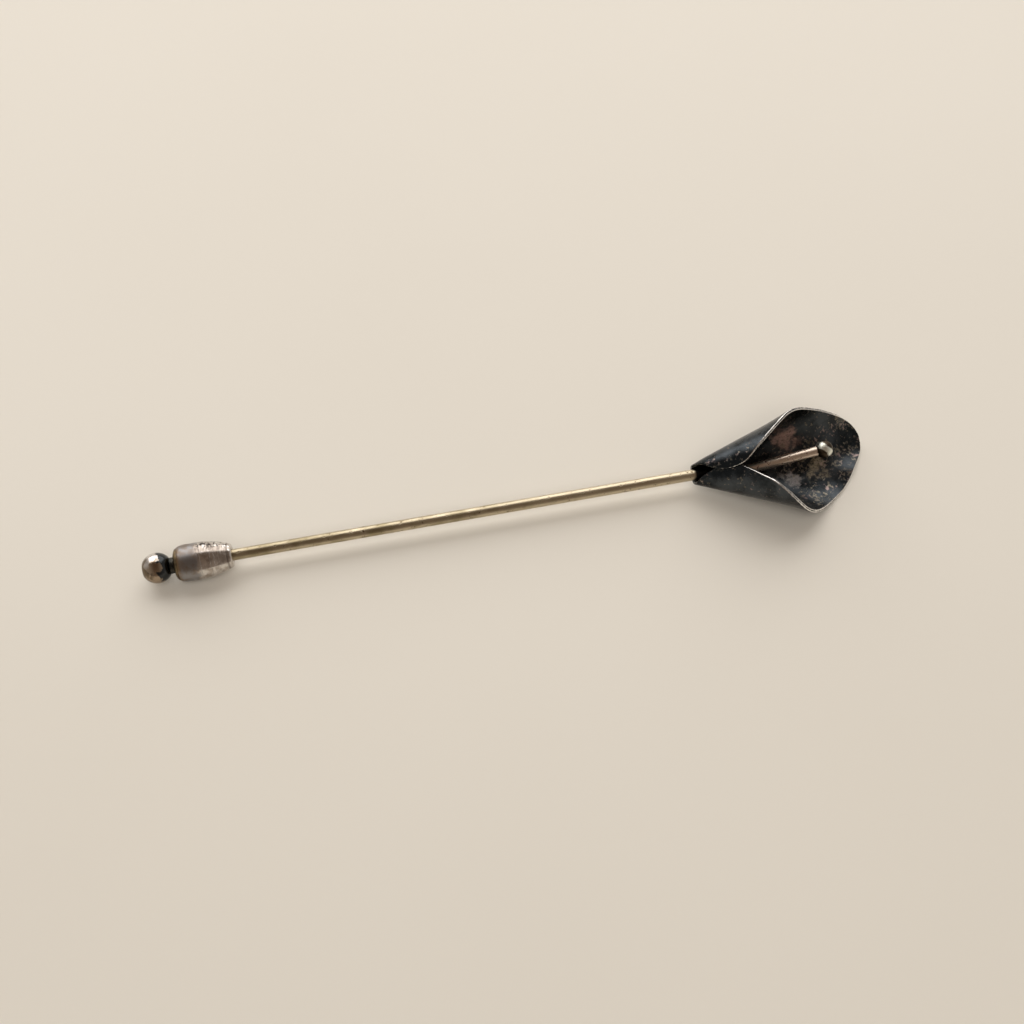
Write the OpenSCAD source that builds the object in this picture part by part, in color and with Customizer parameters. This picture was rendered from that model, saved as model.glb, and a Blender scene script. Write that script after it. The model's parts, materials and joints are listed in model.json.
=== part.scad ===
// Stick pin with a rolled calla lily head and a spring loaded ball clutch.
// Millimetres. The pin lies on its side, as it does on a table: +X runs along the shank from the
// clutch towards the flower, +Z is up, and the lowest points rest on z = 0.
// The origin is the bottom centre of the whole object's box.

/* [Shank] */
// Diameter of the wire
stem_d = 1.05; // [1.03:0.01:1.07]
// Length of plain shank between the clutch and the flower
shank_l = 43.9; // [35:0.1:60]
// Length of the ground point, from full diameter to the tip
point_l = 4.85; // [4.7:0.05:4.9]
// How far the wire runs on inside the flower
stem_inside_flower = 4.6; // [4:0.1:5]

/* [Petal] */
// Thickness of the silver sheet
sheet_t = 0.3; // [0.26:0.01:0.3]
// Radius of the rolled base, measured to the middle of the sheet
base_r = 0.78; // [0.78:0.01:0.82]
// Angle between the cone's axis and its side
cone_angle = 22; // [21:0.5:23]
// Lean of the cone's axis, as a share of what keeps the back in line with the shank
back_rise = 1.025; // [1:0.005:1.05]
// How far the end of the petal curves up, as a whole
tip_curl = 0.35; // [0:0.05:0.5]
// How far the tip itself is turned back towards the table
tip_turn = 2.05; // [1.9:0.05:2.1]
// How far the far edge stands off the cone where it laps over the near edge
lap_lift = 0.3; // [0.3:0.01:0.36]
// How far the near edge tucks in under the lap
lap_tuck = 0.15; // [0.15:0.01:0.2]
// How far the lips turn out at the widest part of the mouth
lip_flare = 0.14; // [0:0.02:0.2]
// Turn of the flower's mouth from straight up towards the front
flower_roll = 35; // [30:1:40]

/* [Spadix] */
// Diameter of the spadix wire
spadix_d = 0.95; // [0.9:0.01:1]
// Diameter of the bead on the spadix
bead_d = 1.7; // [1.5:0.05:1.9]

/* [Clutch barrel] */
// Largest diameter of the barrel
barrel_d = 3.45; // [3.45:0.01:3.5]
// Diameter of the front rim of the shell
shell_nose_d = 2.4; // [2.38:0.01:2.44]
// Diameter of the nose ring's front face
nose_face_d = 1.85; // [1.8:0.01:1.9]
// Diameter of the bore that the shank passes through
entry_bore_d = 1.2; // [1.15:0.01:1.22]
// Length of the barrel over both ends
barrel_l = 5.3; // [5.3:0.01:5.35]
// Depth of the turned decoration rings
ring_depth = 0.035; // [0.02:0.005:0.05]

/* [Clutch plunger] */
// Diameter of the plunger's neck
neck_d = 1.5; // [1.48:0.01:1.5]
// Length of neck that shows between the barrel and the knob
neck_l = 0.42; // [0.4:0.01:0.5]
// Diameter of the knob
knob_d = 2.84; // [2.7:0.01:3]
// Distance from the knob's centre to its flattened end
knob_flat = 1.26; // [1.2:0.01:1.3]
// Travel of the knob when it is pulled to release the pin
knob_travel = 0.7; // [0.5:0.05:0.7]

/* [Clutch lock] */
// Diameter of each gripping ball
ball_d = 0.54; // [0.53:0.01:0.55]
// Number of gripping balls
ball_count = 3; // [3]
// Diameter of the spring wire
spring_wire_d = 0.16; // [0.14:0.01:0.17]
// Turns of the spring
spring_turns = 4.5; // [4:0.25:5]
// Half angle of the tapered seat
seat_angle = 10; // [9:0.5:10]

/* [Hidden] */
$fn = 72;

// colours
oxidised_silver = [0.14, 0.15, 0.17];
nickel_silver = [0.72, 0.66, 0.52];
rose_wire = [0.66, 0.53, 0.44];
bright_silver = [0.78, 0.77, 0.74];
turned_steel = [0.62, 0.60, 0.57];
aged_brass = [0.60, 0.49, 0.30];
dark_steel = [0.16, 0.15, 0.14];

// radii
stem_r = stem_d / 2;
barrel_r = barrel_d / 2;
neck_r = neck_d / 2;
knob_r = knob_d / 2;
ball_r = ball_d / 2;
bore_r = entry_bore_d / 2;
spadix_r = spadix_d / 2;

// fits
running = 0.04;    // round parts that turn or slide in one another
touch = 0.015;     // the balls against the shank and the seat
pocket_gap = 0.02; // a ball in its pocket

// stations along the shank, from the rear face of the barrel
tip_x = 0.45;
point_end_x = tip_x + point_l;
nose_x = barrel_l;
flower_x = nose_x + shank_l;
stem_end_x = flower_x + stem_inside_flower;

shell_rear_x = 0.38;
belly_rear_x = 1.3;
belly_front_x = 2.35;
shell_front_x = 4.97;
ring_stations = [2.48, 3.38, 3.74];
bush_front_x = 0.85;
cage_flange_t = 0.25;
cage_front_x = 4.55;
plunger_front_x = 3.2;
sleeve_x = 3.3;
sleeve_front_x = 4.7;
ball_x = 4;
plunger_bore_x = 0.25;

// the spring's room: the washer can come back by the knob's travel before the coils meet
spring_solid_l = (spring_turns + 1) * spring_wire_d;
spring_spare = 0.15;
spring_seat_gap = 0.01;
washer_x = bush_front_x + spring_solid_l + knob_travel + spring_spare;
washer_t = 0.14;
cage_gap = 0.03;
cage_x = washer_x + washer_t + cage_gap;

// radii outside and inside the barrel
shell_rear_r = 1.52;
shell_nose_r = shell_nose_d / 2;
taper_fullness = 1.65;
ring_w = 0.06;
nose_rim_r = shell_nose_r - 0.05;
nose_seat_r = bore_r + 0.33;
bush_rim_r = 1.51;
bush_face_r = 0.9;
cavity_r = 1.42;
cage_r = 0.95;
cage_flange_r = 1.2;
cage_bore_r = 0.6;
washer_r = 1.3;
spring_r = 1.06;
spigot_r = 0.35;
spigot_l = 1.1;
ball_ring_r = stem_r + touch + ball_r;
sleeve_rear_r = 1.38;
sleeve_front_r = 1.13;
edge_r = 0.04;
knob_edge_r = 0.22;

// the shank's point, the taper of its soldered end, and the flat filed along that end, from the
// axis
tip_r = 0.05;
tip_round = 60;
tip_steps = 2;
point_fullness = 1.8;
point_steps = 10;
stem_end_r = stem_r - 0.03;
solder_flat = 0.3;
solder_flat_x = flower_x + 0.2;

// the strip of solder between that flat and the petal's back, from the flower's base
petal_solder_x = 0.3;
petal_solder_l = 3.8;
petal_solder_w = 0.5;
petal_solder_bite = 0.02;

// the fillet of solder between the spadix and the shank, from the flower's base
spadix_solder_x = [2.9, 3.8];
spadix_solder_r = 0.24;

// the bead's blind hole stops this far short of its centre
bead_hole_end = 0.35;
bead_hole_gap = 0.01;
bead_hole_r = spadix_r + bead_hole_gap;

// Outline of the petal's sheet: distance from the base, then how far the near edge and the far
// edge wrap round the cone from the middle of the back, in degrees
petal_outline = [
    [0, -100, 88],
    [0.4, -158, 118],
    [1.2, -188, 155],
    [2.2, -210, 169.5],
    [3.2, -208, 169.5],
    [4.2, -187, 161],
    [5.2, -170, 142.5],
    [6.2, -157, 126.5],
    [7.2, -140, 111.5],
    [8.2, -121, 97.5],
    [9.2, -101.5, 82.5],
    [10.4, -82, 68],
    [11.7, -63.5, 54],
    [13, -48, 43],
    [14.3, -35, 32],
    [15.35, -23, 21.5],
    [16.2, -12, 13.5],
    [16.72, -4.5, 6.5],
    [16.87, 1, 1]
];
petal_rows = 34;
petal_columns = 26;
mouth_x = 9.6;
mouth_spread = 2.2;
curl_x = 10;
curl_l = 7;
tip_turn_x = [12, 19];
tip_turn_middle = 10;
tip_turn_spread = [8, 30];
tip_turn_reach = 0.38;

// spadix, in the flower's own frame: along the shank, across the mouth, out of the mouth
spadix_foot = [2.6, -0.5, 1];
spadix_head = [12.3, 0.5, 2.3];

function lerp(a, b, t) = a + (b - a) * t;
function clamp01(t) = max(0, min(1, t));
function ease(a, b, x) = let (t = clamp01((x - a) / (b - a))) t * t * (3 - 2 * t);
function unit(v) = v / norm(v);

// a smooth curve through the points of a list, with v running from 0 to 1
function curve(points, v) =
    let (
        last = len(points) - 1,
        place = clamp01(v) * last,
        i = min(floor(place), last - 1),
        t = place - i,
        b = points[i],
        c = points[i + 1],
        a = i == 0 ? 2 * b - c : points[i - 1],
        d = i == last - 1 ? 2 * c - b : points[i + 2]
    )
    0.5 * (2 * b + (c - a) * t + (2 * a - 5 * b + 4 * c - d) * t * t
        + (3 * b - a - 3 * c + d) * t * t * t);

// ---- petal ----

function cone_radius(x) = base_r + x * tan(cone_angle);

function cone_centre(x) =
    back_rise * x * tan(cone_angle) + tip_curl * pow(max(0, x - curl_x) / curl_l, 2);

// how far the sheet stands off the plain cone
function lap(x, angle) =
    ease(0, 1.2, x) * (1 - ease(4, 7.5, x))
        * (lap_lift * ease(60, 150, angle) - lap_tuck * ease(-90, -175, angle));

function flare(x, across) =
    lip_flare * exp(-pow((x - mouth_x) / mouth_spread, 2))
        * (ease(0.8, 1, across) + ease(0.2, 0, across));

// how far the tip is turned back; it fades out towards the two edges
function tip_back(x, angle) =
    tip_turn * ease(tip_turn_x[0], tip_turn_x[1], x)
        * (1 - ease(tip_turn_spread[0], tip_turn_spread[1], abs(angle - tip_turn_middle)));

// middle of the sheet: v runs from the base to the tip, across from the near to the far edge
function petal_middle(v, across) =
    let (
        row = curve(petal_outline, v),
        x = row[0],
        angle = lerp(row[1], row[2], across),
        back = tip_back(x, angle),
        r = cone_radius(x) + lap(x, angle) + flare(x, across) + back
    )
    [x + back * tip_turn_reach, r * sin(angle), cone_centre(x) - r * cos(angle)];

function petal_normal(v, across) =
    let (
        step = 0.002,
        w = min(v, 0.985),
        along = petal_middle(w + step, across) - petal_middle(max(w - step, 0), across),
        over = petal_middle(w, min(across + step, 1)) - petal_middle(w, max(across - step, 0))
    )
    unit(cross(along, over));

// the tip uses one normal for its whole row, because the row shrinks to a point there
function petal_skin(v, across, side) =
    petal_middle(v, across) + side * sheet_t / 2 * petal_normal(v, v < 1 ? across : 0.5);

// from the flower's own frame to the pin's frame, with the mouth turned towards the front
function flower_point(p) = [
    p[0] + flower_x,
    p[1] * cos(flower_roll) - p[2] * sin(flower_roll),
    p[1] * sin(flower_roll) + p[2] * cos(flower_roll)
];

petal_points = [
    for (side = [-1, 1])
        for (i = [0:petal_rows - 1])
            for (j = [0:petal_columns])
                flower_point(petal_skin(i / petal_rows, j / petal_columns, side)),
    for (side = [-1, 1])
        flower_point(petal_skin(1, 0.5, side))
];

function petal_index(layer, i, j) = (layer * petal_rows + i) * (petal_columns + 1) + j;
function petal_tip(layer) = 2 * petal_rows * (petal_columns + 1) + layer;

// two triangles of a four sided patch, whose corners are named in order around it
function patch(a, b, c, d) = [[a, b, c], [a, c, d]];

function petal_faces() = [
    for (layer = [0, 1])
        for (i = [0:petal_rows - 2])
            for (j = [0:petal_columns - 1])
                let (
                    a = petal_index(layer, i, j),
                    b = petal_index(layer, i + 1, j),
                    c = petal_index(layer, i + 1, j + 1),
                    d = petal_index(layer, i, j + 1)
                )
                each (layer == 0 ? patch(a, b, c, d) : patch(a, d, c, b)),
    for (layer = [0, 1])
        for (j = [0:petal_columns - 1])
            let (
                a = petal_index(layer, petal_rows - 1, j),
                b = petal_index(layer, petal_rows - 1, j + 1)
            )
            layer == 0 ? [a, petal_tip(0), b] : [a, b, petal_tip(1)],
    for (j = [0:petal_columns - 1])
        each patch(petal_index(0, 0, j), petal_index(0, 0, j + 1),
            petal_index(1, 0, j + 1), petal_index(1, 0, j)),
    for (i = [0:petal_rows - 2])
        each patch(petal_index(0, i, 0), petal_index(1, i, 0),
            petal_index(1, i + 1, 0), petal_index(0, i + 1, 0)),
    for (i = [0:petal_rows - 2])
        each patch(petal_index(0, i, petal_columns), petal_index(0, i + 1, petal_columns),
            petal_index(1, i + 1, petal_columns), petal_index(1, i, petal_columns)),
    each patch(petal_index(0, petal_rows - 1, 0), petal_index(1, petal_rows - 1, 0),
        petal_tip(1), petal_tip(0)),
    each patch(petal_index(0, petal_rows - 1, petal_columns), petal_tip(0),
        petal_tip(1), petal_index(1, petal_rows - 1, petal_columns))
];

// ---- where the object stands ----

knob_centre_x = -neck_l - sqrt(knob_r * knob_r - neck_r * neck_r);
rear_x = knob_centre_x - knob_flat;
petal_x = [for (p = petal_points) p[0]];
petal_y = [for (p = petal_points) p[1]];
petal_z = [for (p = petal_points) p[2]];
low_y = min(-barrel_r, min(petal_y));
high_y = max(barrel_r, max(petal_y));
low_z = min(-barrel_r, min(petal_z));
offset_to_floor = [-(rear_x + max(petal_x)) / 2, -(low_y + high_y) / 2, -low_z];

module on_the_table() {
    translate(offset_to_floor) children();
}

// turns a profile drawn as [radius, distance along the shank] about the shank's axis
module turned(profile) {
    rotate([0, 90, 0]) rotate([0, 0, 90]) rotate_extrude() polygon(profile);
}

// a plain ring about the shank
module ring(x0, x1, inner_r, outer_r) {
    turned([[inner_r, x0], [outer_r, x0], [outer_r, x1], [inner_r, x1]]);
}

// points of an arc, as [radius, distance along the shank]
function arc(centre, r, from, to, steps = 8) = [
    for (i = [0:steps])
        let (a = lerp(from, to, i / steps))
        [centre[0] + r * cos(a), centre[1] + r * sin(a)]
];

// a quarter of an ellipse, from a rim round to the edge of a face
function rounded(rim_r, rim_x, face_r, face_x, steps = 8) = [
    for (i = [0:steps])
        let (a = 90 * i / steps)
        [lerp(face_r, rim_r, cos(a)), lerp(rim_x, face_x, sin(a))]
];

// ---- pin ----

// an ogive: full diameter where the grinding starts, a fine rounded and blunted tip at the end
function point_profile() =
    let (
        tip = arc([0, tip_x + tip_r], tip_r, 0, -tip_round, tip_steps),
        taper = [
            for (i = [0:point_steps - 1])
                let (t = i / point_steps)
                [lerp(stem_r, tip_r, pow(t, point_fullness)), lerp(point_end_x, tip_x + tip_r, t)]
        ]
    )
    concat(taper, tip, [[0, tip[tip_steps][1]]]);

// the wire's end tapers a little, and is filed flat where it lies along the petal's back
module stem() {
    color(nickel_silver) on_the_table() difference() {
        turned(concat(
            [
                [0, stem_end_x],
                [stem_end_r - edge_r, stem_end_x],
                [stem_end_r, stem_end_x - edge_r],
                [stem_r, flower_x]
            ],
            point_profile()
        ));
        rotate([flower_roll, 0, 0])
            translate([solder_flat_x, -2 * stem_r, -stem_r - solder_flat])
                cube([2 * stem_inside_flower, 4 * stem_r, stem_r]);
    }
}

module petal() {
    color(oxidised_silver) on_the_table()
        polyhedron(points = petal_points, faces = petal_faces(), convexity = 6);
}

// silver solder that fills the gap between the filed flat and the petal's back
module petal_solder() {
    low = base_r - sheet_t / 2 + petal_solder_bite;
    color(bright_silver) on_the_table()
        rotate([flower_roll, 0, 0])
            translate([flower_x + petal_solder_x, -petal_solder_w / 2, -low])
                cube([petal_solder_l, petal_solder_w, low - solder_flat]);
}

module spadix_wire() {
    foot = flower_point(spadix_foot);
    head = flower_point(spadix_head);
    run = head - foot;
    end_l = norm(run) - bead_hole_end;
    color(rose_wire) on_the_table() translate(foot) point_along(run) {
        cylinder(r = spadix_r - edge_r, h = end_l);
        translate([0, 0, edge_r]) cylinder(r = spadix_r, h = end_l - 2 * edge_r);
    }
}

module spadix_bead() {
    foot = flower_point(spadix_foot);
    head = flower_point(spadix_head);
    run = head - foot;
    color(bright_silver) on_the_table() translate(foot) point_along(run) difference() {
        translate([0, 0, norm(run)]) sphere(d = bead_d, $fn = 48);
        cylinder(r = bead_hole_r, h = norm(run) - bead_hole_end + bead_hole_gap);
    }
}

// the middle of the gap between the shank's surface and the spadix's surface
function solder_seat(x) =
    let (
        share = (x - spadix_foot[0]) / (spadix_head[0] - spadix_foot[0]),
        spadix_axis = lerp(spadix_foot, spadix_head, share),
        across = [0, spadix_axis[1], spadix_axis[2]]
    )
    [x, 0, 0] + unit(across) * (stem_r + norm(across) - spadix_r) / 2;

// a fillet of solder, round ended, that fills that gap near the foot of the spadix
module spadix_solder() {
    start = flower_point(solder_seat(spadix_solder_x[0]));
    run = flower_point(solder_seat(spadix_solder_x[1])) - start;
    color(bright_silver) on_the_table() translate(start) point_along(run)
        rotate_extrude()
            polygon(concat(
                arc([0, 0], spadix_solder_r, -90, 0),
                arc([0, norm(run)], spadix_solder_r, 0, 90)
            ));
}

// aims +Z along a direction
module point_along(v) {
    rotate([0, acos(v[2] / norm(v)), atan2(v[1], v[0])]) children();
}

// ---- clutch barrel ----

// outside radius of the shell where it tapers towards the nose
function taper_r(x) =
    let (t = (x - belly_front_x) / (shell_front_x - belly_front_x))
    lerp(barrel_r, shell_nose_r, pow(t, taper_fullness));

module clutch_shell() {
    steps = 12;
    taper = [
        for (i = [steps:-1:0])
            let (x = lerp(belly_front_x, shell_front_x, i / steps))
            [taper_r(x), x]
    ];
    color(turned_steel) on_the_table() difference() {
        turned(concat(
            taper,
            rounded(barrel_r, belly_rear_x, shell_rear_r, shell_rear_x),
            [
                [cavity_r, shell_rear_x],
                [cavity_r, sleeve_x],
                [sleeve_rear_r, sleeve_x],
                [sleeve_front_r, sleeve_front_x],
                [nose_seat_r, sleeve_front_x],
                [nose_seat_r, shell_front_x]
            ]
        ));
        for (x = ring_stations)
            ring(x, x + ring_w, taper_r(x) - ring_depth, barrel_d);
    }
}

// the ring that closes the front and guides the shank
module nose_ring() {
    color(turned_steel) on_the_table() turned(concat(
        [
            [bore_r, sleeve_front_x],
            [nose_seat_r, sleeve_front_x],
            [nose_seat_r, shell_front_x]
        ],
        rounded(nose_rim_r, shell_front_x, nose_face_d / 2, nose_x),
        [[bore_r + edge_r, nose_x], [bore_r, nose_x - edge_r]]
    ));
}

function seat_r(x) =
    ball_ring_r + (ball_r + touch) / cos(seat_angle) - (x - ball_x) * tan(seat_angle);

module taper_sleeve() {
    color(dark_steel) on_the_table() turned([
        [seat_r(sleeve_x), sleeve_x],
        [sleeve_rear_r, sleeve_x],
        [sleeve_front_r, sleeve_front_x],
        [seat_r(sleeve_front_x), sleeve_front_x]
    ]);
}

// the brass bush that closes the rear, with a domed flange outside the shell
module rear_bush() {
    color(aged_brass) on_the_table() turned(concat(
        [
            [neck_r + running, 0],
            [neck_r + running, bush_front_x],
            [cavity_r, bush_front_x],
            [cavity_r, shell_rear_x]
        ],
        rounded(bush_rim_r, shell_rear_x, bush_face_r, 0)
    ));
}

// ---- clutch lock ----

spring_rear_x = bush_front_x + spring_wire_d / 2 + spring_seat_gap;
spring_front_x = washer_x - spring_wire_d / 2 - spring_seat_gap;
spring_sides = 8;
spring_steps = 16;
end_turn_closing = 0.6;

// one point of the coil; the end turns lie closer together than the middle ones
function coil_point(turn) =
    let (
        share = turn / spring_turns,
        x = lerp(spring_rear_x, spring_front_x, lerp(share, ease(0, 1, share), end_turn_closing))
    )
    [x, spring_r * cos(360 * turn), spring_r * sin(360 * turn)];

function coil_section(turn) =
    let (
        c = coil_point(turn),
        out = [0, cos(360 * turn), sin(360 * turn)],
        r = spring_wire_d / 2
    )
    [for (k = [0:spring_sides - 1])
        let (a = 360 * k / spring_sides)
        c + r * cos(a) * out + r * sin(a) * [1, 0, 0]];

module spring() {
    rings = round(spring_turns * spring_steps);
    points = [for (i = [0:rings]) each coil_section(i / spring_steps)];
    sides = [
        for (i = [0:rings - 1])
            for (k = [0:spring_sides - 1])
                let (
                    n = (k + 1) % spring_sides,
                    a = i * spring_sides + k,
                    b = i * spring_sides + n,
                    c = (i + 1) * spring_sides + n,
                    d = (i + 1) * spring_sides + k
                )
                each patch(a, b, c, d)
    ];
    ends = [
        for (k = [1:spring_sides - 2]) [0, k + 1, k],
        for (k = [1:spring_sides - 2])
            let (first = rings * spring_sides) [first, first + k, first + k + 1]
    ];
    color(turned_steel) on_the_table()
        polyhedron(points = points, faces = concat(sides, ends), convexity = 10);
}

module thrust_washer() {
    color(aged_brass) on_the_table()
        ring(washer_x, washer_x + washer_t, neck_r + running, washer_r);
}

module ball_cage() {
    color(aged_brass) on_the_table() difference() {
        turned([
            [neck_r, cage_x],
            [cage_flange_r, cage_x],
            [cage_flange_r, cage_x + cage_flange_t],
            [cage_r, cage_x + cage_flange_t],
            [cage_r, cage_front_x],
            [cage_bore_r, cage_front_x],
            [cage_bore_r, plunger_front_x],
            [neck_r, plunger_front_x]
        ]);
        for (i = [0:ball_count - 1])
            rotate([360 * i / ball_count, 0, 0])
                translate([ball_x, 0, 0])
                    cylinder(r = ball_r + pocket_gap, h = 2 * cage_r);
    }
}

module grip_ball(i) {
    color(bright_silver) on_the_table()
        rotate([360 * i / ball_count, 0, 0])
            translate([ball_x, 0, ball_ring_r]) sphere(r = ball_r, $fn = 32);
}

module grip_ball_1() {
    grip_ball(0);
}

module grip_ball_2() {
    grip_ball(1);
}

module grip_ball_3() {
    grip_ball(2);
}

// ---- plunger and knob ----

module plunger() {
    color(dark_steel) on_the_table() turned([
        [0, -neck_l - spigot_l],
        [spigot_r, -neck_l - spigot_l],
        [spigot_r, -neck_l],
        [neck_r, -neck_l],
        [neck_r, plunger_front_x],
        [cage_bore_r, plunger_front_x],
        [cage_bore_r, plunger_bore_x],
        [0, plunger_bore_x]
    ]);
}

// a ball with a flattened outer end, drilled for the plunger's spigot
module knob() {
    inner_r = knob_r - knob_edge_r;
    inner_flat = knob_flat - knob_edge_r;
    edge_centre = [sqrt(inner_r * inner_r - inner_flat * inner_flat), knob_centre_x - inner_flat];
    edge_start = -asin(inner_flat / inner_r);
    color(bright_silver) on_the_table() turned(concat(
        [[spigot_r, -neck_l]],
        arc([0, knob_centre_x], knob_r, acos(neck_r / knob_r), edge_start, 24),
        arc(edge_centre, knob_edge_r, edge_start, -90, 6),
        [[0, rear_x], [0, -neck_l - spigot_l], [spigot_r, -neck_l - spigot_l]]
    ));
}

stem();
petal();
petal_solder();
spadix_wire();
spadix_solder();
spadix_bead();
clutch_shell();
nose_ring();
taper_sleeve();
rear_bush();
spring();
thrust_washer();
ball_cage();
grip_ball_1();
grip_ball_2();
grip_ball_3();
plunger();
knob();
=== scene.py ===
import json
import math

import bmesh
import bpy
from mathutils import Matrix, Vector


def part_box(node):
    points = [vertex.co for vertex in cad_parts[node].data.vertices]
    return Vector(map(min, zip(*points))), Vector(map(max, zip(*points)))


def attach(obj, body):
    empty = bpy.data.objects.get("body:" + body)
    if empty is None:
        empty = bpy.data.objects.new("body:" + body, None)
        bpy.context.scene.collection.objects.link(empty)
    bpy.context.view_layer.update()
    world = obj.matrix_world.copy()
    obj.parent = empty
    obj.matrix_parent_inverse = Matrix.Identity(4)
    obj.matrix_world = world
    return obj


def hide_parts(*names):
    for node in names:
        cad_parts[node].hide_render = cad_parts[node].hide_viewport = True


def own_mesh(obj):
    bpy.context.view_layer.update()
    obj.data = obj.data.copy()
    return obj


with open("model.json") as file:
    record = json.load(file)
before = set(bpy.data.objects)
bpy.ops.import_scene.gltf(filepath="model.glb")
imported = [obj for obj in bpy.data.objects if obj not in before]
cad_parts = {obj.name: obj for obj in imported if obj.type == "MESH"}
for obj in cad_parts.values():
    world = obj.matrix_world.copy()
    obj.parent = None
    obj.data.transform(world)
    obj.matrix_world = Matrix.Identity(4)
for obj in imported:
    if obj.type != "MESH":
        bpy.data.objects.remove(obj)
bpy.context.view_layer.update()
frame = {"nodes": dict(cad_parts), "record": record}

# A stick pin with a rolled calla lily in blackened silver and a ball clutch on its point.
# Lengths are in millimetres unless a comment says metres. Places along the pin are measured from
# the rear face of the clutch's barrel towards the flower. Names that end in _R are radii and
# names that end in _L are lengths.

MM = 0.001

# ---- sizes shared with the CAD model ----

# the clutch's barrel, with the turned rings round its taper
BARREL_L = 5.3
BARREL_R = 1.725
SHELL_REAR = 0.38
SHELL_FRONT = 4.97
SHELL_REAR_R = 1.52
SHELL_NOSE_R = 1.2
BELLY_REAR = 1.3
BELLY_FRONT = 2.35
TAPER_FULLNESS = 1.65
RING_STATIONS = (2.48, 3.38, 3.74)
RING_W = 0.06
RING_DEPTH = 0.035
CAVITY_R = 1.42

# the sleeve's seat, the nose ring and the rear bush
SLEEVE_REAR = 3.3
SLEEVE_FRONT = 4.7
SLEEVE_REAR_R = 1.38
SLEEVE_FRONT_R = 1.13
NOSE_BORE_R = 0.6
NOSE_SEAT_R = 0.93
NOSE_RIM_R = 1.15
NOSE_FACE_R = 0.925
BUSH_FRONT = 0.85
BUSH_BORE_R = 0.79
BUSH_FACE_R = 0.9
BUSH_RIM_R = 1.51

# the plunger, whose spigot holds the knob
NECK_R = 0.75
NECK_L = 0.42
SPIGOT_R = 0.35
SPIGOT_L = 1.1
PLUNGER_FRONT = 3.2
PLUNGER_BORE = 0.25
PLUNGER_BORE_R = 0.6
KNOB_R = 1.42
KNOB_FLAT = 1.26
KNOB_EDGE_R = 0.22

# the shank, its ground point and its soldered end
STEM_R = 0.525
TIP = 0.45
TIP_R = 0.05
POINT_L = 4.85
POINT_FULLNESS = 1.8
STEM_IN_FLOWER = 4.6
STEM_END_R = 0.495

# the spring's coil and wire
SPRING_R = 1.06
SPRING_WIRE_R = 0.08
SPRING_TURNS = 4.5

# the petal: a cone of sheet, lapped in front, spread at the mouth and turned back at the tip
SHEET_T = 0.296
BASE_R = 0.78
CONE_SLOPE = math.tan(math.radians(22))
BACK_RISE = 1.025
TIP_CURL = 0.35
CURL_START = 10
CURL_L = 7
LAP_LIFT = 0.3
LAP_LIFT_ANGLES = (60, 150)
LAP_TUCK = 0.15
LAP_TUCK_ANGLES = (-90, -175)
LAP_START = (0, 1.2)
LAP_END = (4, 7.5)
LIP_FLARE = 0.14
LIP_SHARE = 0.2
MOUTH = 9.6
MOUTH_SPREAD = 2.2
TIP_TURN = 2.05
TIP_TURN_X = (12, 19)
TIP_TURN_MIDDLE = 10
TIP_TURN_SPREAD = (8, 30)
TIP_TURN_REACH = 0.38
FLOWER_ROLL = math.radians(35)

# the spadix wire from its foot to the middle of its bead, in the flower's own frame
SPADIX_R = 0.475
SPADIX_FOOT = (2.6, -0.5, 1)
SPADIX_HEAD = (12.3, 0.5, 2.3)
BEAD_R = 0.85
BEAD_HOLE_END = 0.35

# distance from the flower's base, then how far the near and the far edge wrap round, in degrees
PETAL_OUTLINE = [
    (0, -100, 88), (0.4, -158, 118), (1.2, -188, 155), (2.2, -210, 169.5),
    (3.2, -208, 169.5), (4.2, -187, 161), (5.2, -170, 142.5), (6.2, -157, 126.5),
    (7.2, -140, 111.5), (8.2, -121, 97.5), (9.2, -101.5, 82.5), (10.4, -82, 68),
    (11.7, -63.5, 54), (13, -48, 43), (14.3, -35, 32), (15.35, -23, 21.5),
    (16.2, -12, 13.5), (16.72, -4.5, 6.5), (16.87, 1, 1),
]

# ---- places in metres, from the frame, and two lengths in mm along the pin ----

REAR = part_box("rear_bush")[0].x
STEM_LOW, STEM_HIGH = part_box("stem")
AXIS_Y = (STEM_LOW.y + STEM_HIGH.y) / 2
AXIS_Z = (STEM_LOW.z + STEM_HIGH.z) / 2
SHANK_L = frame["record"]["mounts"][0]["dims"]["length_mm"]
FLOWER = BARREL_L + SHANK_L


def pin_point(x, y, z):
    """A point given in mm along and about the shank's axis, in metres in the row frame."""
    return Vector((REAR + x * MM, AXIS_Y + y * MM, AXIS_Z + z * MM))


def flower_point(p):
    """From the flower's own frame (along, across the mouth, out of it) to the row frame."""
    c, s = math.cos(FLOWER_ROLL), math.sin(FLOWER_ROLL)
    return pin_point(FLOWER + p[0], p[1] * c - p[2] * s, p[1] * s + p[2] * c)


# ---- mesh helpers ----

ON_AXIS = 1e-6
EDGE_ROUND = 0.04
FINE_EDGE_ROUND = 0.03
WIRE_END_ROUND = 0.06
MOST_CUT = 0.4
LEAD_IN = 0.2


def lerp(a, b, t):
    return a + (b - a) * t


def ease(a, b, x):
    """Runs smoothly from 0 at a to 1 at b, and is held beyond them."""
    t = max(0.0, min(1.0, (x - a) / (b - a)))
    return t * t * (3 - 2 * t)


def arc(centre, rx, ry, start, end, steps):
    """Points of an elliptical arc in a section, as (along, radius); angles are in degrees."""
    angles = [math.radians(lerp(start, end, i / steps)) for i in range(steps + 1)]
    return [(centre[0] + rx * math.cos(a), centre[1] + ry * math.sin(a)) for a in angles]


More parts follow.
